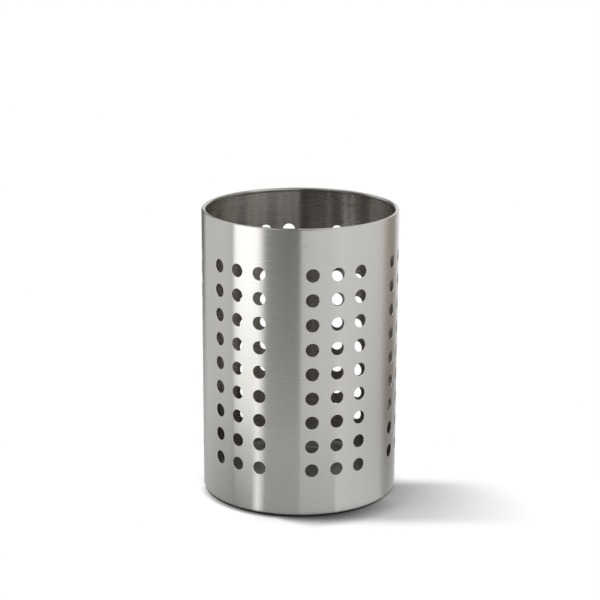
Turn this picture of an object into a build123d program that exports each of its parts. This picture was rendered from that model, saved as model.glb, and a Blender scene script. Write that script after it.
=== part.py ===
from build123d import *

import math
import os

# Perforated stainless steel utensil holder: a punched sheet rolled into a tube, closed by a welded
# side seam, with a curled rim at the top and a pressed base welded into the foot.
# Origin on the floor under the axis, +Z up, -Y to the front, the side seam at +Y.
# Millimetres and degrees.

# Body
body_diameter = 121.0
body_height = 178.0
wall_sheet = 0.5

# Curled rim
rim_bore = 1.5  # clear diameter inside the curl
rim_tuck_gap = 0.3  # from the curl's end back to the wall

# Holes: groups of columns with a blank strip between them
hole_diameter = 8.2
hole_groups = 6
columns_in_group = 3
column_spacing = 15.5  # between columns of a group, along the outside of the wall
row_pitch = 15.1
first_row_height = 29.2  # floor to the lowest row of centres
top_row_depth = 28.0  # least distance from the rim's top down to the highest row of centres

# Side seam
seam_width = 1.2

# Pressed base
base_sheet = 0.5
base_bend = 0.5  # inside radius of the base's bends
base_flange_height = 7.0  # floor to the flange's top edge
base_rise = 2.0  # the middle panel above the seat
base_step_run = 2.5  # width of the slope up to the middle panel
base_gap = 0.1  # base flange to wall, all round

# Foot of the wall, turned in under the base
foot_lip = 5.5  # outside of the wall to the lip's inner edge

# Spot welds between the lip and the base
spot_weld_count = 8
spot_weld_diameter = 2.5
spot_weld_dimple = 0.1  # sunk below the lip's underside
spot_weld_bite = 0.25  # depth fused into the base

# Worked out from the values above
wall_radius = body_diameter / 2
rim_radius = rim_bore / 2 + wall_sheet
rim_centre_height = body_height - rim_radius
base_corner_radius = base_bend + base_sheet
foot_radius = base_corner_radius + wall_sheet
base_radius = wall_radius - wall_sheet - base_gap
lip_radius = wall_radius - foot_lip
spot_weld_circle = (lip_radius + wall_radius - foot_radius) / 2
row_span = body_height - top_row_depth - first_row_height
row_count = 1 + math.floor(round(row_span / row_pitch, 3))
group_pitch = 360 / hole_groups
column_pitch = math.degrees(column_spacing / wall_radius)
seam_angle = math.degrees(seam_width / wall_radius)

# Directions about the axis: the front is at -Y, and the seam in the blank strip nearest the back
front = -90.0
seam_direction = front + group_pitch * (hole_groups // 2)


def wall_line(inset):
    """One face of the wall's sheet in half section, inset from the outer face."""
    tuck = math.degrees(math.asin((rim_bore / 2 - rim_tuck_gap) / rim_radius))
    lip = Line((lip_radius, inset), (wall_radius - foot_radius, inset))
    foot = JernArc(lip @ 1, (1, 0), foot_radius - inset, 90)
    side = Line(foot @ 1, (wall_radius - inset, rim_centre_height))
    curl = JernArc(side @ 1, (0, 1), rim_radius - inset, 270 + tuck)
    return [lip, foot, side, curl]


def wall_section():
    """Half section of the wall: turned-in lip, foot bend, straight side and curled rim."""
    outer = wall_line(0)
    inner = wall_line(wall_sheet)
    lip_end = Line(outer[0] @ 0, inner[0] @ 0)
    curl_end = Line(outer[-1] @ 1, inner[-1] @ 1)
    return Plane.XZ * make_face([*outer, *inner, lip_end, curl_end])


def turned(section, start, sweep):
    """A half section turned about the axis, from one direction through a sweep."""
    return Rot(0, 0, start) * revolve(section, Axis.Z, sweep)


def hole_directions():
    """Direction of every column of holes, evenly about the middle of each group."""
    for group in range(hole_groups):
        middle = front + (group + 0.5) * group_pitch
        for column in range(columns_in_group):
            yield middle + (column - (columns_in_group - 1) / 2) * column_pitch


def hole_punches():
    """One radial punch for every hole, long enough to pass through the wall."""
    punch = Rot(0, 90, 0) * Cylinder(hole_diameter / 2, 2 * hole_diameter)
    for direction in hole_directions():
        for row in range(row_count):
            height = first_row_height + row * row_pitch
            yield Rot(0, 0, direction) * Pos(wall_radius, 0, height) * punch


def spot_welds(bottom):
    """Weld nuggets on one circle, from a height in the lip up to their bite into the base.
    They lie evenly on both sides of the seam.
    """
    top = wall_sheet + spot_weld_bite
    nugget = Pos(0, 0, (bottom + top) / 2) * Cylinder(spot_weld_diameter / 2, top - bottom)
    pitch = 360 / spot_weld_count
    return [
        Rot(0, 0, seam_direction + pitch * (n + 0.5)) * Pos(spot_weld_circle, 0, 0) * nugget
        for n in range(spot_weld_count)
    ]


def perforated_wall():
    """The punched sheet, rolled up to the two edges that the seam joins."""
    wall = turned(wall_section(), seam_direction + seam_angle / 2, 360 - seam_angle)
    return wall - [*hole_punches(), *spot_welds(0)]


def side_seam_weld():
    """The weld that closes the tube, ground flush with the sheet on both sides."""
    return turned(wall_section(), seam_direction - seam_angle / 2, seam_angle)


def base_pan():
    """The pressed base: flange up against the wall, seat on the lip and a raised middle."""
    seat = wall_sheet
    step = lip_radius - base_step_run
    with BuildSketch(Plane.XZ) as section:
        with BuildLine():
            FilletPolyline(
                (0, seat + base_rise),
                (step, seat + base_rise),
                (lip_radius, seat),
                (base_radius, seat),
                (base_radius, base_flange_height),
                radius=[base_bend, base_corner_radius, base_corner_radius],
            )
            offset(amount=base_sheet, side=Side.LEFT)
        make_face()
    return revolve(section.sketch, Axis.Z) - spot_welds(0)


def write(name, shape):
    """Writes one named piece; a group is several separate solids in one file."""
    os.makedirs("parts", exist_ok=True)
    export_step(shape, f"parts/{name}.step")
    print(name, len(shape.solids()), "solids,", round(shape.volume, 1), "mm3")


write("perforated_wall", perforated_wall())
write("side_seam_weld", side_seam_weld())
write("base_pan", base_pan())
write("base_spot_welds", Compound(children=spot_welds(spot_weld_dimple)))
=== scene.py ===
import math

import bmesh
import bpy
from mathutils import Matrix, Vector


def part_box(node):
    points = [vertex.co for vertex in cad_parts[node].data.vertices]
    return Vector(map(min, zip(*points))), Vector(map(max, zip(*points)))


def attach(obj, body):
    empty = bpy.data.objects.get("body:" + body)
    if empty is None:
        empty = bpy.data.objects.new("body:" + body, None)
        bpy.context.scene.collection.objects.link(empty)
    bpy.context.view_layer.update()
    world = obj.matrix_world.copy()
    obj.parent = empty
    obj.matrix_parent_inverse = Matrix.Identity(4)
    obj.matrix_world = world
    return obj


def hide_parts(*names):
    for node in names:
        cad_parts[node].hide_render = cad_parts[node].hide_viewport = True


# A utensil holder of brushed stainless sheet: a punched and rolled wall, its seam, a base and their welds
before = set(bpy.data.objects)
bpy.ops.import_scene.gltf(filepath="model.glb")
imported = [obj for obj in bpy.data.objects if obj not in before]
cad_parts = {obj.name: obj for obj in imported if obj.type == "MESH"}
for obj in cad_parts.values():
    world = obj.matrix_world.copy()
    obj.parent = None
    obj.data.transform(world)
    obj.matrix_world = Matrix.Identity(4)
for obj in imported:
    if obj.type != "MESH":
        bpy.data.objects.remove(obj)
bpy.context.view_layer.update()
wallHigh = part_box("perforated_wall")[1]
mm = 0.001
samePoint = 0.01 * mm  # points closer together than this are one point
fullTurn = 2 * math.pi
print("frame loaded:", ", ".join(sorted(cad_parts)))


# Small helpers for working in edit mode

def clearSelection():
    bpy.ops.object.select_all(action="DESELECT")


def pickVerts(piece, test):
    mesh = bmesh.from_edit_mesh(piece.data)
    mesh.select_mode = {"VERT"}
    for vert in mesh.verts:
        vert.select = test(vert.co)
    mesh.select_flush_mode()
    bmesh.update_edit_mesh(piece.data)


def near(value, target, slack=0.002 * mm):
    return abs(value - target) < slack


def reach(co):
    return math.hypot(co.x, co.y)  # distance from the can's axis


def pullEdge(shift):
    bpy.ops.mesh.extrude_edges_move(TRANSFORM_OT_translate={"value": shift})


def pullRing(radiusNow, radiusNext, rise):
    pullEdge((0, 0, rise))
    ratio = radiusNext / radiusNow
    bpy.ops.transform.resize(value=(ratio, ratio, 1), center_override=(0, 0, 0))


def applyModifier(piece, kind, **settings):
    modifier = piece.modifiers.new(kind.title(), kind)
    for name, value in settings.items():
        setattr(modifier, name, value)
    bpy.ops.object.modifier_apply(modifier=modifier.name)


def repeat(piece, count, step):
    applyModifier(piece, "ARRAY", count=count, use_relative_offset=False, use_constant_offset=True,
                  constant_offset_displace=step, use_merge_vertices=True, merge_threshold=samePoint)


def faceOutwards(piece):
    bpy.ops.object.mode_set(mode="EDIT")
    bpy.ops.mesh.select_all(action="SELECT")
    bpy.ops.mesh.remove_doubles(threshold=samePoint)
    bpy.ops.mesh.normals_make_consistent(inside=False)
    mesh = bmesh.from_edit_mesh(piece.data)
    outermost = max(mesh.faces, key=lambda face: reach(face.calc_center_median()))  # an upright one
    if outermost.normal.dot(outermost.calc_center_median()) < 0:
        bpy.ops.mesh.flip_normals()
    bpy.ops.object.mode_set(mode="OBJECT")


# Rolled sheet: what the wall and its seam share

sheetForm = {
    "radius": wallHigh.x,
    "height": wallHigh.z,
    "thickness": 0.5 * mm,
    "rimRadius": 1.25 * mm,  # outside of the curl
    "rimTurn": math.radians(291),
    "rimSteps": 18,
    "footRadius": 1.5 * mm,
    "footSteps": 5,
    "footLip": 5.5 * mm,  # from the outside of the wall
    "seamWidth": 1.2 * mm,
    "seamReach": 0.72 * mm,  # from the seam's middle to just past its edges
    "edge": 0.15 * mm,  # sheared and punched edges are broken this far
    "sharp": math.radians(50),  # edges that turn by more than this are broken
}
rimStart = sheetForm["height"] - sheetForm["rimRadius"]
lipRadius = sheetForm["radius"] - sheetForm["footLip"]


def rollSheet(piece, angle):
    # the flat sheet stands in the XZ plane with its outside towards -Y, and its middle stays at the front
    applyModifier(piece, "SIMPLE_DEFORM", deform_method="BEND", deform_axis="Z", angle=angle)
    bpy.ops.object.mode_set(mode="EDIT")
    bpy.ops.mesh.select_all(action="SELECT")
    bpy.ops.transform.translate(value=(0, -sheetForm["radius"], 0))
    bpy.ops.object.mode_set(mode="OBJECT")


def curlRim(piece):
    bpy.ops.object.mode_set(mode="EDIT")
    pickVerts(piece, lambda co: near(co.z, rimStart))
    radius, height = sheetForm["radius"], rimStart
    for step in range(1, sheetForm["rimSteps"] + 1):
        turn = sheetForm["rimTurn"] * step / sheetForm["rimSteps"]
        nextRadius = sheetForm["radius"] - sheetForm["rimRadius"] * (1 - math.cos(turn))
        nextHeight = rimStart + sheetForm["rimRadius"] * math.sin(turn)
        pullRing(radius, nextRadius, nextHeight - height)
        radius, height = nextRadius, nextHeight
    bpy.ops.object.mode_set(mode="OBJECT")


def turnFoot(piece):
    bpy.ops.object.mode_set(mode="EDIT")
    pickVerts(piece, lambda co: near(co.z, 0))
    pullRing(sheetForm["radius"], lipRadius, 0)
    pickVerts(piece, lambda co: near(co.z, 0) and near(reach(co), sheetForm["radius"]))
    bpy.ops.mesh.bevel(offset=sheetForm["footRadius"], segments=sheetForm["footSteps"], affect="EDGES")
    bpy.ops.object.mode_set(mode="OBJECT")


def atSeam(co):
    return co.y > 0 and abs(co.x) < sheetForm["seamReach"]


def thicken(piece, edge):
    faceOutwards(piece)
    applyModifier(piece, "SOLIDIFY", thickness=sheetForm["thickness"], offset=-1, use_even_offset=True)
    bpy.ops.object.mode_set(mode="EDIT")
    bpy.ops.mesh.select_mode(type="EDGE")
    bpy.ops.mesh.select_all(action="DESELECT")
    bpy.ops.mesh.edges_select_sharp(sharpness=sheetForm["sharp"])
    mesh = bmesh.from_edit_mesh(piece.data)
    for sharp in mesh.edges:
        if all(atSeam(vert.co) for vert in sharp.verts):
            sharp.select = False  # the seam is ground flush, without a groove
    bmesh.update_edit_mesh(piece.data)
    bpy.ops.mesh.bevel(offset=edge, segments=1, affect="EDGES")
    bpy.ops.object.mode_set(mode="OBJECT")
    bpy.ops.object.shade_smooth_by_angle(angle=sheetForm["sharp"])


def rolledNormals(piece):
    # a rolled sheet has true round faces, so reflections run on past the holes without ripples
    outer, inner = sheetForm["radius"], sheetForm["radius"] - sheetForm["thickness"]
    low, high = sheetForm["footRadius"] - samePoint, rimStart + samePoint
    normals = []
    for vert in piece.data.vertices:
        away = Vector((vert.co.x, vert.co.y, 0)).normalized()
        onWall = low < vert.co.z < high
        if onWall and near(reach(vert.co), outer, samePoint):
            normals.append(away)
        elif onWall and near(reach(vert.co), inner, samePoint):
            normals.append(-away)
        else:
            normals.append(Vector((0, 0, 0)))  # keeps its own
    piece.data.normals_split_custom_set([normals[corner.vertex_index] for corner in piece.data.loops])


# The wall, punched flat and then rolled

wallForm = {
    "holeRadius": 4.1 * mm,
    "holeSides": 24,  # divides by 8, so that a cell's corners fall on points of the circle
    "groups": 6,
    "columnsInGroup": 3,
    "columnSpacing": 15.5 * mm,
    "rows": 9,
    "rowPitch": 15.1 * mm,
    "firstRow": 29.2 * mm,
    "blankSteps": 4,  # faces across half a blank strip
}
groupWidth = fullTurn * sheetForm["radius"] / wallForm["groups"]
blankHalf = (groupWidth - wallForm["columnsInGroup"] * wallForm["columnSpacing"]) / 2


def punchedCell():
    clearSelection()
    centre = Vector((0, 0, wallForm["firstRow"]))
    bpy.ops.mesh.primitive_circle_add(vertices=wallForm["holeSides"], radius=wallForm["holeRadius"],
                                      fill_type="NOTHING", location=centre, rotation=(math.pi / 2, 0, 0))
    cell = bpy.context.object
    bpy.ops.object.transform_apply(location=True, rotation=True, scale=True)
    bpy.ops.object.mode_set(mode="EDIT")
    bpy.ops.mesh.select_all(action="SELECT")
    pullEdge((0, 0, 0))
    mesh = bmesh.from_edit_mesh(cell.data)
    for vert in mesh.verts:
        if vert.select:  # the last ring goes out to the cell's square border
            out = vert.co - centre
            out /= max(abs(out.x), abs(out.z))
            border = Vector((out.x * wallForm["columnSpacing"], 0, out.z * wallForm["rowPitch"])) / 2
            vert.co = centre + border
    bmesh.update_edit_mesh(cell.data)
    bpy.ops.object.mode_set(mode="OBJECT")
    return cell


def punchedSheet():
    sheet = punchedCell()
    repeat(sheet, wallForm["rows"], (0, 0, wallForm["rowPitch"]))
    repeat(sheet, wallForm["columnsInGroup"], (wallForm["columnSpacing"], 0, 0))
    bpy.ops.object.mode_set(mode="EDIT")
    left = -wallForm["columnSpacing"] / 2
    right = left + wallForm["columnsInGroup"] * wallForm["columnSpacing"]
    for border, way in ((left, -1), (right, 1)):  # half a blank strip on both sides of a group
        pickVerts(sheet, lambda co: near(co.x, border))
        for step in range(wallForm["blankSteps"]):
            pullEdge((way * blankHalf / wallForm["blankSteps"], 0, 0))
    low = wallForm["firstRow"] - wallForm["rowPitch"] / 2
    high = low + wallForm["rows"] * wallForm["rowPitch"]
    pickVerts(sheet, lambda co: near(co.z, low))
    pullEdge((0, 0, -low))
    pickVerts(sheet, lambda co: near(co.z, high))
    pullEdge((0, 0, rimStart - high))
    bpy.ops.object.mode_set(mode="OBJECT")
    repeat(sheet, wallForm["groups"], (groupWidth, 0, 0))
    half = groupWidth * wallForm["groups"] / 2
    bpy.ops.object.mode_set(mode="EDIT")
    bpy.ops.mesh.select_all(action="SELECT")
    bpy.ops.transform.translate(value=(blankHalf - left - half, 0, 0))
    for way in (-1, 1):  # the two edges stop short of each other for the seam
        pickVerts(sheet, lambda co: near(co.x, way * half))
        bpy.ops.transform.translate(value=(-way * sheetForm["seamWidth"] / 2, 0, 0))
    bpy.ops.object.mode_set(mode="OBJECT")
    return sheet


def makeWall():
    wall = punchedSheet()
    rollSheet(wall, fullTurn - sheetForm["seamWidth"] / sheetForm["radius"])
    curlRim(wall)
    turnFoot(wall)
    thicken(wall, sheetForm["edge"])
    meltWelds(wall)
    rolledNormals(wall)
    wall.name = "perforatedWall"
    print("wall:", len(wall.data.polygons), "faces")
    return wall


# The side seam's weld: a strip of the same sheet, ground flush

seamForm = {
    "across": 2,  # faces over its width
}


def makeSeam():
    clearSelection()
    bpy.ops.mesh.primitive_grid_add(x_subdivisions=seamForm["across"], y_subdivisions=1, size=1,
                                    location=(0, 0, rimStart / 2), rotation=(math.pi / 2, 0, 0))
    seam = bpy.context.object
    seam.scale = (sheetForm["seamWidth"], rimStart, 1)
    bpy.ops.object.transform_apply(location=True, rotation=True, scale=True)
    rollSheet(seam, sheetForm["seamWidth"] / sheetForm["radius"])
    curlRim(seam)
    turnFoot(seam)
    seam.rotation_euler.z = math.pi  # round to the back
    bpy.ops.object.transform_apply(location=True, rotation=True, scale=True)
    thicken(seam, sheetForm["edge"])
    rolledNormals(seam)
    seam.name = "sideSeamWeld"
    print("side seam:", len(seam.data.polygons), "faces")
    return seam


# The base: a pressed pan that sits on the lip, with a raised middle

panForm = {
    "sides": 180,
    "gap": 0.1 * mm,  # flange to wall
    "flangeTop": 7.0 * mm,
    "cornerRadius": 1.0 * mm,
    "stepRun": 2.5 * mm,
    "rise": 2.0 * mm,
    "stepRadius": 1.0 * mm,
    "bendSteps": 4,
    "innerRing": 20.0 * mm,
    "edge": 0.06 * mm,
}


def makePan():
    clearSelection()
    radius = sheetForm["radius"] - sheetForm["thickness"] - panForm["gap"]
    seat = sheetForm["thickness"]
    panel = lipRadius - panForm["stepRun"]
    bpy.ops.mesh.primitive_circle_add(vertices=panForm["sides"], radius=radius, fill_type="NOTHING",
                                      location=(0, 0, panForm["flangeTop"]))
    pan = bpy.context.object
    bpy.ops.object.transform_apply(location=True, rotation=True, scale=True)
    bpy.ops.object.mode_set(mode="EDIT")
    bpy.ops.mesh.select_all(action="SELECT")
    pullRing(radius, radius, seat - panForm["flangeTop"])
    pullRing(radius, lipRadius, 0)
    pullRing(lipRadius, panel, panForm["rise"])
    pullRing(panel, panForm["innerRing"], 0)
    pullEdge((0, 0, 0))
    bpy.ops.mesh.merge(type="CENTER")
    slope = math.atan2(panForm["rise"], panForm["stepRun"])
    stepOffset = panForm["stepRadius"] * math.tan(slope / 2)
    corners = (
        (radius, seat, panForm["cornerRadius"]),
        (lipRadius, seat, stepOffset),
        (panel, seat + panForm["rise"], stepOffset),
    )
    for ring, height, offset in corners:
        pickVerts(pan, lambda co: near(reach(co), ring) and near(co.z, height))
        bpy.ops.mesh.bevel(offset=offset, segments=panForm["bendSteps"], affect="EDGES")
    bpy.ops.object.mode_set(mode="OBJECT")
    thicken(pan, panForm["edge"])
    meltWelds(pan)
    pan.name = "basePan"
    print("base pan:", len(pan.data.polygons), "faces")
    return pan


# Spot welds that hold the pan to the lip

weldForm = {
    "count": 8,
    "radius": 1.25 * mm,
    "sides": 24,
    "bottom": 0.1 * mm,  # sunk in the lip
    "top": 0.75 * mm,
    "rim": 0.4 * mm,
    "dish": 0.05 * mm,
    "sharp": math.radians(40),
}
weldStep = fullTurn / weldForm["count"]


def firstDisc(bottom, top):
    clearSelection()
    circle = (lipRadius + sheetForm["radius"] - sheetForm["footRadius"]) / 2
    turn = math.pi / 2 + weldStep / 2  # the seam lies midway between two welds
    place = (circle * math.cos(turn), circle * math.sin(turn), (bottom + top) / 2)
    bpy.ops.mesh.primitive_cylinder_add(vertices=weldForm["sides"], radius=weldForm["radius"],
                                        depth=top - bottom, location=place)
    disc = bpy.context.object
    bpy.ops.object.transform_apply(location=True, rotation=True, scale=True)
    return disc


def copyRound():
    bpy.ops.object.mode_set(mode="EDIT")
    bpy.ops.mesh.select_all(action="SELECT")
    copies = weldForm["count"] - 1
    bpy.ops.mesh.spin(steps=copies, dupli=True, angle=copies * weldStep, center=(0, 0, 0), axis=(0, 0, 1))
    bpy.ops.mesh.select_all(action="SELECT")
    bpy.ops.mesh.normals_make_consistent(inside=False)
    bpy.ops.object.mode_set(mode="OBJECT")


def makeWelds():
    welds = firstDisc(weldForm["bottom"], weldForm["top"])
    bpy.ops.object.mode_set(mode="EDIT")
    pickVerts(welds, lambda co: near(co.z, weldForm["bottom"]))
    bpy.ops.mesh.inset(thickness=weldForm["rim"], depth=-weldForm["dish"])
    bpy.ops.object.mode_set(mode="OBJECT")
    copyRound()
    bpy.ops.object.shade_smooth_by_angle(angle=weldForm["sharp"])
    welds.name = "baseSpotWelds"
    print("spot welds:", len(welds.data.polygons), "faces")
    return welds


def meltWelds(piece):
    # where the welds are, the lip is melted through and the base part of the way
    cutter = firstDisc(-sheetForm["thickness"], weldForm["top"])
    copyRound()
    clearSelection()
    piece.select_set(True)
    bpy.context.view_layer.objects.active = piece
    applyModifier(piece, "BOOLEAN", operation="DIFFERENCE", object=cutter, solver="EXACT")
    bpy.data.objects.remove(cutter, do_unlink=True)


# Everything rides on the one body, and each piece stands for its node

def settle(piece, node):
    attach(piece, "root")
    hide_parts(node)


wall = makeWall()
seam = makeSeam()
pan = makePan()
welds = makeWelds()
settle(wall, "perforated_wall")
settle(seam, "side_seam_weld")
settle(pan, "base_pan")
settle(welds, "base_spot_welds")


# Materials

def hexColour(code):
    channels = [int(code[place:place + 2], 16) / 255 for place in (1, 3, 5)]
    linear = [c / 12.92 if c <= 0.04045 else ((c + 0.055) / 1.055) ** 2.4 for c in channels]
    return (*linear, 1.0)


def addNode(tree, kind, inputs=None, **settings):
    node = tree.nodes.new("ShaderNode" + kind)
    for name, value in settings.items():
        setattr(node, name, value)
    for name, value in (inputs or {}).items():
        if isinstance(value, bpy.types.NodeSocket):
            tree.links.new(value, node.inputs[name])
        else:
            node.inputs[name].default_value = value
    return node


def startMaterial(name):
    material = bpy.data.materials.new(name)
    material.use_nodes = True
    material.node_tree.nodes.clear()
    return material, material.node_tree


def endMaterial(tree, shader):
    addNode(tree, "OutputMaterial", {"Surface": shader})


def turnedPlace(tree):
    # how far round (front 0), how far out and how high, for finishes that run round the can
    place = addNode(tree, "TexCoord").outputs["Object"]
    axes = addNode(tree, "SeparateXYZ", {"Vector": place})
    back = addNode(tree, "Math", {0: axes.outputs["Y"], 1: -1.0}, operation="MULTIPLY")
    angle = addNode(tree, "Math", {0: axes.outputs["X"], 1: back.outputs[0]}, operation="ARCTAN2")
    level = addNode(tree, "VectorMath", {0: place, 1: (1, 1, 0)}, operation="MULTIPLY")
    out = addNode(tree, "VectorMath", {0: level.outputs[0]}, operation="LENGTH")
    around = addNode(tree, "CombineXYZ", {"X": back.outputs[0], "Y": axes.outputs["X"]})
    tangent = addNode(tree, "VectorMath", {0: around.outputs[0]}, operation="NORMALIZE")
    return {"angle": angle.outputs[0], "out": out.outputs["Value"], "height": axes.outputs["Z"],
            "tangent": tangent.outputs[0]}


steelForm = {
    "grainSpan": (0.3, 0.7),  # a noise seldom leaves these bounds
    "rotation": 0.25,  # a quarter turn, so that the highlights are drawn out across the tangent
}


def steelSurface(tree, finish, tone, grain, tangent):
    # the grain varies the gloss and gives the relief
    low, high = steelForm["grainSpan"]
    rough = addNode(tree, "MapRange", {"Value": grain, "From Min": low, "From Max": high,
                                       "To Min": finish["smooth"], "To Max": finish["rough"]})
    bump = addNode(tree, "Bump", {"Height": grain, "Strength": 1.0, "Distance": finish["depth"]})
    steel = addNode(tree, "BsdfPrincipled", {
        "Base Color": tone, "Metallic": 1.0, "Roughness": rough.outputs[0],
        "Anisotropic": finish["anisotropy"], "Anisotropic Rotation": steelForm["rotation"],
        "Tangent": tangent, "Normal": bump.outputs[0]})
    endMaterial(tree, steel.outputs[0])


brushedFinish = {
    "light": "#c5c4c0",
    "dark": "#b9b8b4",
    # the inside's tones: the mill's warmer finish, painted darker as shade inside the can
    "shadedInsideLight": "#b4aea7",
    "shadedInsideDark": "#9d9892",
    "cutEdgeHighlight": "#e4e3e0",  # punched and sheared edges are bare metal, painted brighter than the sheet as a highlight
    "smooth": 0.22,
    "rough": 0.35,
    "anisotropy": 1.0,
    "lineWidth": 0.45 * mm,  # real brush lines are near 0.05 mm, drawn coarser so that they show
    "lineLength": 30.0 * mm,
    "detail": 3.0,
    "unevenness": 0.6,
    "depth": 0.008 * mm,
    "slack": 0.07 * mm,  # flat facets dip this far inside the round
}
seamFinish = {
    **brushedFinish,  # ground and brushed like the sheet, a little duller and warmer
    "light": "#c0bdb6",
    "dark": "#aeaba4",
}


def between(tree, value, low, high):
    over = addNode(tree, "Math", {0: value, 1: low}, operation="GREATER_THAN")
    under = addNode(tree, "Math", {0: value, 1: high}, operation="LESS_THAN")
    return addNode(tree, "Math", {0: over.outputs[0], 1: under.outputs[0]}, operation="MULTIPLY").outputs[0]


def brushedStainless(name, finish):
    # stainless sheet brushed round the can: fine level lines, and highlights drawn out up and down;
    # the inside has the mill's warmer finish and is painted darker, as shade inside the can
    material, tree = startMaterial(name)
    turned = turnedPlace(tree)
    along = addNode(tree, "Math", {0: turned["angle"], 1: sheetForm["radius"] / finish["lineLength"]},
                    operation="MULTIPLY")
    across = addNode(tree, "Math", {0: turned["out"], 1: turned["height"]}, operation="ADD")
    lines = addNode(tree, "Math", {0: across.outputs[0], 1: 1 / finish["lineWidth"]}, operation="MULTIPLY")
    brush = addNode(tree, "CombineXYZ", {"X": along.outputs[0], "Y": lines.outputs[0]})
    grain = addNode(tree, "TexNoise", {"Vector": brush.outputs[0], "Scale": 1.0, "Detail": finish["detail"],
                                       "Roughness": finish["unevenness"]}).outputs[0]
    outer = addNode(tree, "MixRGB", {"Fac": grain, "Color1": hexColour(finish["dark"]),
                                     "Color2": hexColour(finish["light"])})
    inner = addNode(tree, "MixRGB", {"Fac": grain, "Color1": hexColour(finish["shadedInsideDark"]),
                                     "Color2": hexColour(finish["shadedInsideLight"])})
    nearOut = sheetForm["radius"] - finish["slack"]
    nearIn = sheetForm["radius"] - sheetForm["thickness"] + finish["slack"]
    onWall = between(tree, turned["height"], sheetForm["footRadius"], rimStart)
    # the hole walls and sheared edges get a painted highlight colour
    cutHighlightMask = addNode(tree, "Math", {0: onWall, 1: between(tree, turned["out"], nearIn, nearOut)},
                  operation="MULTIPLY")
    shadedInside = addNode(tree, "Math", {0: onWall, 1: between(tree, turned["out"], 0.0, nearIn)},
                     operation="MULTIPLY")
    sides = addNode(tree, "MixRGB", {"Fac": shadedInside.outputs[0], "Color1": outer.outputs[0],
                                     "Color2": inner.outputs[0]})
    tone = addNode(tree, "MixRGB", {"Fac": cutHighlightMask.outputs[0], "Color1": sides.outputs[0],
                                    "Color2": hexColour(finish["cutEdgeHighlight"])})
    steelSurface(tree, finish, tone.outputs[0], grain, turned["tangent"])
    return material


satinFinish = {
    "light": "#bdbcb8",
    "dark": "#a9a8a4",
    "smooth": 0.3,
    "rough": 0.42,
    "grain": 0.5 * mm,  # the rolled grain is near 0.05 mm, drawn coarser so that it shows
    "drawMarks": 1.2 * mm,  # rings left by pressing
    "detail": 2.0,
    "depth": 0.006 * mm,
    "anisotropy": 0.3,
}


def satinStainless():
    # stainless as rolled and pressed: an even satin with a fine grain and faint rings
    material, tree = startMaterial("satinStainlessSteel")
    turned = turnedPlace(tree)
    place = addNode(tree, "TexCoord").outputs["Object"]
    grain = addNode(tree, "TexNoise", {"Vector": place, "Scale": 1 / satinFinish["grain"],
                                       "Detail": satinFinish["detail"]})
    ring = addNode(tree, "Math", {0: turned["out"], 1: 1 / satinFinish["drawMarks"]}, operation="MULTIPLY")
    rings = addNode(tree, "TexNoise", {"W": ring.outputs[0], "Scale": 1.0, "Detail": satinFinish["detail"]},
                    noise_dimensions="1D")
    both = addNode(tree, "Math", {0: grain.outputs[0], 1: rings.outputs[0]}, operation="ADD")
    mark = addNode(tree, "Math", {0: both.outputs[0], 1: 0.5}, operation="MULTIPLY").outputs[0]  # their mean
    tone = addNode(tree, "MixRGB", {"Fac": mark, "Color1": hexColour(satinFinish["dark"]),
                                    "Color2": hexColour(satinFinish["light"])})
    steelSurface(tree, satinFinish, tone.outputs[0], mark, turned["tangent"])
    return material


weldFinish = {
    "light": "#b9b6b0",
    "tint": "#a59b8c",  # straw colour left by the heat
    "smooth": 0.3,
    "rough": 0.45,
    "ripple": 0.8 * mm,
    "detail": 3.0,
    "depth": 0.01 * mm,
    "anisotropy": 0.6,
}


def weldStainless():
    # weld metal as struck: duller than the sheet, faintly straw coloured, with fine ripples
    material, tree = startMaterial("spotWeldSteel")
    place = addNode(tree, "TexCoord").outputs["Object"]
    ripple = addNode(tree, "TexNoise", {"Vector": place, "Scale": 1 / weldFinish["ripple"],
                                        "Detail": weldFinish["detail"]}).outputs[0]
    tone = addNode(tree, "MixRGB", {"Fac": ripple, "Color1": hexColour(weldFinish["tint"]),
                                    "Color2": hexColour(weldFinish["light"])})
    steelSurface(tree, weldFinish, tone.outputs[0], ripple, turnedPlace(tree)["tangent"])
    return material


def dress(piece, material):
    piece.data.materials.clear()
    piece.data.materials.append(material)


dress(wall, brushedStainless("brushedStainlessSteel", brushedFinish))
dress(seam, brushedStainless("groundWeldSteel", seamFinish))
dress(pan, satinStainless())
dress(welds, weldStainless())
print("materials done")


# Camera, fitted to the holes, sides, rim and foot in the picture

cameraPlace = {
    "azimuth": math.radians(8.17),  # round from the front, towards +X
    "distance": 1048.0 * mm,  # from the can's axis
    "height": 405.8 * mm,
    "pitch": math.radians(15.3),  # looking down
    "roll": math.radians(0.26),
    "focalPixels": 1752.8,
    "framePixels": 600,
    "sensorWidth": 36.0,  # in millimetres, as the lens is
    "clip": (0.05, 20.0),
}


def makeCamera():
    data = bpy.data.cameras.new("camera")
    data.sensor_width = cameraPlace["sensorWidth"]
    data.lens = data.sensor_width * cameraPlace["focalPixels"] / cameraPlace["framePixels"]
    data.clip_start, data.clip_end = cameraPlace["clip"]
    camera = bpy.data.objects.new("camera", data)
    bpy.context.scene.collection.objects.link(camera)
    turn = cameraPlace["azimuth"]
    place = Vector((math.sin(turn), -math.cos(turn), 0)) * cameraPlace["distance"]
    place.z = cameraPlace["height"]
    camera.matrix_world = (Matrix.Translation(place) @ Matrix.Rotation(turn, 4, "Z")
                           @ Matrix.Rotation(math.pi / 2 - cameraPlace["pitch"], 4, "X")
                           @ Matrix.Rotation(cameraPlace["roll"], 4, "Z"))
    bpy.context.scene.camera = camera


makeCamera()


# Studio: white all round, a pale floor that keeps the shadow, and cards that the steel mirrors

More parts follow.
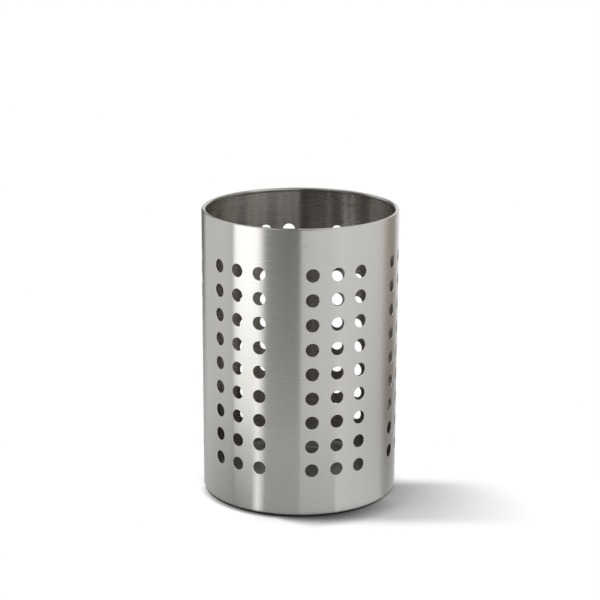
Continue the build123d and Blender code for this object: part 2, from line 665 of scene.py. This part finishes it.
studio = {
    "fillStrength": 0.65,  # what the white surroundings give to the floor
    "floorSize": 16.0,
    "floorDrop": 0.05 * mm,
    "floorColour": "#e6e6e6",
    "shadowPlace": (66.2, 0.0874),  # bearing and distance of the middle of the shadow's stretch
    "shadowReach": (0.3, 0.0428),  # its half length and half width
    "shadowEdge": 0.58,  # the floor is painted plain white from this share of the way out, over the lamp's shadow
    "contactShadeSamples": 16,
    # painted contact shade on the floor by the foot: how dark it is and how far it goes; both grow towards a
    # bearing
    "contactShadePower": {"bearing": -10, "start": 20.0 * mm, "least": 0.2, "most": 3.9},
    "contactShadeReach": {"bearing": 44, "start": 36.0 * mm, "least": 5.5 * mm, "most": 19.0 * mm},
}


def aroundCan(bearing, distance, height):
    # bearings are seen from the can: 0 is towards the camera, and + is to the camera's right
    turn = cameraPlace["azimuth"] + math.radians(bearing)
    return Vector((math.sin(turn) * distance, -math.cos(turn) * distance, height))


def seenDirectly(tree):
    path = addNode(tree, "LightPath").outputs
    seen = path["Is Camera Ray"]
    for ray in ("Is Glossy Ray", "Is Transmission Ray"):
        seen = addNode(tree, "Math", {0: seen, 1: path[ray]}, operation="MAXIMUM").outputs[0]
    return seen


def makeWorld():
    world = bpy.data.worlds.new("whiteStudio")
    world.use_nodes = True
    tree = world.node_tree
    tree.nodes.clear()
    strength = addNode(tree, "MapRange", {"Value": seenDirectly(tree), "To Min": studio["fillStrength"],
                                          "To Max": 1.0})
    white = addNode(tree, "Background", {"Color": hexColour("#ffffff"), "Strength": strength.outputs[0]})
    addNode(tree, "OutputWorld", {"Surface": white.outputs[0]})
    bpy.context.scene.world = world


def grownTowards(tree, place, form):
    # grows round the foot of the can, from beside it to the side at a bearing
    way = aroundCan(form["bearing"], 1, 0)
    ahead = addNode(tree, "VectorMath", {0: place, 1: way}, operation="DOT_PRODUCT")
    grown = addNode(tree, "MapRange", {"Value": ahead.outputs["Value"], "From Min": form["start"],
                                       "From Max": sheetForm["radius"], "To Min": form["least"],
                                       "To Max": form["most"]})
    return grown.outputs[0]


def makeFloor():
    clearSelection()
    bpy.ops.mesh.primitive_plane_add(size=studio["floorSize"], location=(0, 0, -studio["floorDrop"]))
    floor = bpy.context.object
    floor.name = "floor"
    material, tree = startMaterial("paleFloor")
    place = addNode(tree, "TexCoord").outputs["Object"]
    # the shadow's stretch: outside it the floor is painted plain white, which cuts the lamp's shadow off
    stretch = addNode(tree, "Mapping", {"Vector": place, "Location": aroundCan(*studio["shadowPlace"], 0),
                                        "Rotation": (0, 0, cameraPlace["azimuth"]),
                                        "Scale": (*studio["shadowReach"], 1)}, vector_type="TEXTURE")
    away = addNode(tree, "VectorMath", {0: stretch.outputs[0]}, operation="LENGTH")
    far = addNode(tree, "MapRange", {"Value": away.outputs["Value"], "From Min": studio["shadowEdge"]},
                  interpolation_type="SMOOTHSTEP")
    # painted contact shade: the floor's colour and its white glow are darkened round the foot
    power = grownTowards(tree, place, studio["contactShadePower"])
    spread = grownTowards(tree, place, studio["contactShadeReach"])
    clear = addNode(tree, "AmbientOcclusion", {"Distance": spread}, samples=studio["contactShadeSamples"])
    contactShade = addNode(tree, "Math", {0: clear.outputs["AO"], 1: power}, operation="POWER")
    tone = addNode(tree, "MixRGB", {"Fac": contactShade.outputs[0], "Color1": hexColour("#000000"),
                                    "Color2": hexColour(studio["floorColour"])})
    matt = addNode(tree, "BsdfDiffuse", {"Color": tone.outputs[0]})
    white = addNode(tree, "Emission", {"Color": hexColour("#ffffff"), "Strength": contactShade.outputs[0]})
    shown = addNode(tree, "MixShader", {0: far.outputs[0], 1: matt.outputs[0], 2: white.outputs[0]})
    both = addNode(tree, "MixShader", {0: seenDirectly(tree), 1: matt.outputs[0], 2: shown.outputs[0]})
    endMaterial(tree, both.outputs[0])
    dress(floor, material)


lampForm = {  # a long strip overhead, off to the left, so that the shadow thins out to the right
    "bearing": -122,
    "distance": 0.67,
    "height": 2.0,
    "size": (1.2, 0.6),
    "power": 44.0,
}


def makeLamp():
    data = bpy.data.lights.new("strip", "AREA")
    data.shape = "RECTANGLE"
    data.size, data.size_y = lampForm["size"]
    data.energy = lampForm["power"]
    lamp = bpy.data.objects.new("strip", data)
    bpy.context.scene.collection.objects.link(lamp)
    place = aroundCan(lampForm["bearing"], lampForm["distance"], lampForm["height"])
    lamp.matrix_world = (Matrix.Translation(place)
                         @ Matrix.Rotation(math.atan2(place.y, place.x), 4, "Z"))
    lamp.visible_glossy = False


# What the steel mirrors: a curved card all round, a grey flag overhead and a dark collar over the mouth.
# The card is set out by the bearings on the wall at which it shows, 0 towards the camera and + to its
# right, and opens like a bowl along the mirrored lines of sight.

cardForm = {
    "rows": ((2.0 * mm, 0.5 * mm), (0.03, 0.06), (0.4, 0.08), (3.0, 2.0)),  # distance out and height
    "warm": "#fff2e6",
    "plain": "#ffffff",
    "points": (  # bearing, brightness at the first row, the second and the rest, tint
        (-90, 1.00, 1.00, 1.00, "plain"),
        (-80, 0.65, 0.58, 0.14, "plain"),
        (-77, 0.65, 0.60, 0.15, "plain"),
        (-73, 0.65, 0.68, 0.42, "plain"),
        (-70, 0.64, 0.85, 1.00, "plain"),
        (-67, 0.63, 0.84, 0.84, "plain"),
        (-50, 0.52, 0.84, 0.97, "plain"),
        (-44, 0.46, 0.80, 0.88, "plain"),
        (-41.4, 0.44, 0.60, 0.40, "plain"),
        (-40.8, 0.42, 1.20, 2.50, "plain"),
        (-29, 0.55, 1.30, 2.50, "plain"),
        (-25.3, 1.50, 1.80, 2.30, "plain"),
        (-20.3, 0.55, 0.60, 0.28, "plain"),
        (-10, 0.55, 0.62, 0.20, "plain"),
        (-0.1, 0.58, 0.65, 0.22, "plain"),
        (0.7, 0.70, 0.92, 1.00, "plain"),
        (20.8, 0.72, 0.94, 1.03, "plain"),
        (21.6, 0.97, 1.06, 1.12, "plain"),
        (54, 0.84, 0.77, 1.06, "plain"),
        (61, 0.52, 0.36, 0.62, "warm"),
        (69, 0.55, 0.31, 0.42, "warm"),
        (71, 0.58, 0.36, 0.50, "warm"),
        (77, 0.66, 0.65, 1.05, "plain"),
        (90, 1.00, 1.00, 1.00, "plain"),
    ),
    "step": 2.0,  # of bearing, between columns
}
coreForm = {
    "radius": 0.056,
    "height": 0.172,
    "sides": 48,
}
flagForm = {
    "place": (0, 0.7, 0.6),  # bearing, distance and height
    "size": (0.36, 1.2),
    "colour": "#8c8c8c",
}
collarForm = {
    "bearings": (-150, -2),
    "step": 4,  # of bearing
    "distance": 0.054,
    "heights": (0.179, 0.265),
    "colour": "#303030",
}


def mirroredPlace(bearing, distance, height):
    return aroundCan(bearing, sheetForm["radius"], height) + aroundCan(2 * bearing, distance, 0)


def glowTable():
    # the card's columns in small steps: bearing, the brightness at three heights, and the tint's colour
    points = [(*levels, *hexColour(cardForm[tint])[:3]) for *levels, tint in cardForm["points"]]
    table = []
    for here, ahead in zip(points, points[1:]):
        steps = max(1, round((ahead[0] - here[0]) / cardForm["step"]))
        table += [[a + (b - a) * step / steps for a, b in zip(here, ahead)] for step in range(steps)]
    return table + [points[-1]]


def mirroredOnly(piece):
    piece.visible_camera = False
    piece.visible_diffuse = False
    piece.visible_shadow = False


def makeCard():
    table = glowTable()
    wide = len(table)
    corners, colours, faces = [], [], []
    for row, place in enumerate(cardForm["rows"]):
        for bearing, foot, middle, top, *tint in table:
            glow = (foot, middle, top, top)[row]
            corners.append(mirroredPlace(bearing, *place))
            colours += [*(glow * channel if row else glow for channel in tint), 1]  # the foot isn't tinted
        if row:
            first = (row - 1) * wide
            faces += [(n, n + 1, n + wide + 1, n + wide) for n in range(first, first + wide - 1)]
    mesh = bpy.data.meshes.new("gradedCard")
    mesh.from_pydata(corners, [], faces)
    mesh.attributes.new("glow", "FLOAT_COLOR", "POINT").data.foreach_set("color", colours)
    card = bpy.data.objects.new("gradedCard", mesh)
    bpy.context.scene.collection.objects.link(card)
    material, tree = startMaterial("gradedCard")
    colour = addNode(tree, "Attribute", attribute_name="glow")
    glow = addNode(tree, "Emission", {"Color": colour.outputs["Color"], "Strength": 1.0})
    endMaterial(tree, glow.outputs[0])
    dress(card, material)
    mirroredOnly(card)


def plainGlow(piece, colour):
    material, tree = startMaterial(piece.name)
    glow = addNode(tree, "Emission", {"Color": hexColour(colour), "Strength": 1.0})
    endMaterial(tree, glow.outputs[0])
    dress(piece, material)
    mirroredOnly(piece)


def makeFlag():
    clearSelection()
    bpy.ops.mesh.primitive_plane_add(size=1, location=aroundCan(*flagForm["place"]),
                                     rotation=(0, 0, cameraPlace["azimuth"]))
    flag = bpy.context.object
    flag.name = "overheadFlag"
    flag.scale = (*flagForm["size"], 1)
    plainGlow(flag, flagForm["colour"])


def makeCollar():
    # stands on the left of the mouth, so that the inside mirrors it and stays dark
    first, last = collarForm["bearings"]
    count = round((last - first) / collarForm["step"])
    bearings = [first + (last - first) * n / count for n in range(count + 1)]
    corners = [aroundCan(bearing, collarForm["distance"], height)
               for height in collarForm["heights"] for bearing in bearings]
    wide = len(bearings)
    mesh = bpy.data.meshes.new("mouthCollar")
    mesh.from_pydata(corners, [], [(n, n + 1, n + wide + 1, n + wide) for n in range(count)])
    collar = bpy.data.objects.new("mouthCollar", mesh)
    bpy.context.scene.collection.objects.link(collar)
    plainGlow(collar, collarForm["colour"])


def makeCore():
    # stands in the can unseen, so that no light falls through the holes on to the shadow
    clearSelection()
    bpy.ops.mesh.primitive_cylinder_add(vertices=coreForm["sides"], radius=coreForm["radius"],
                                        depth=coreForm["height"], location=(0, 0, coreForm["height"] / 2))
    core = bpy.context.object
    core.name = "shadowCore"
    core.visible_camera = False
    core.visible_diffuse = False
    core.visible_glossy = False
    core.visible_transmission = False


makeWorld()
makeFloor()
makeCore()
makeLamp()
makeCard()
makeFlag()
makeCollar()
bpy.context.scene.view_settings.view_transform = "Standard"
print("studio done: a lamp, a card, a flag and a collar")
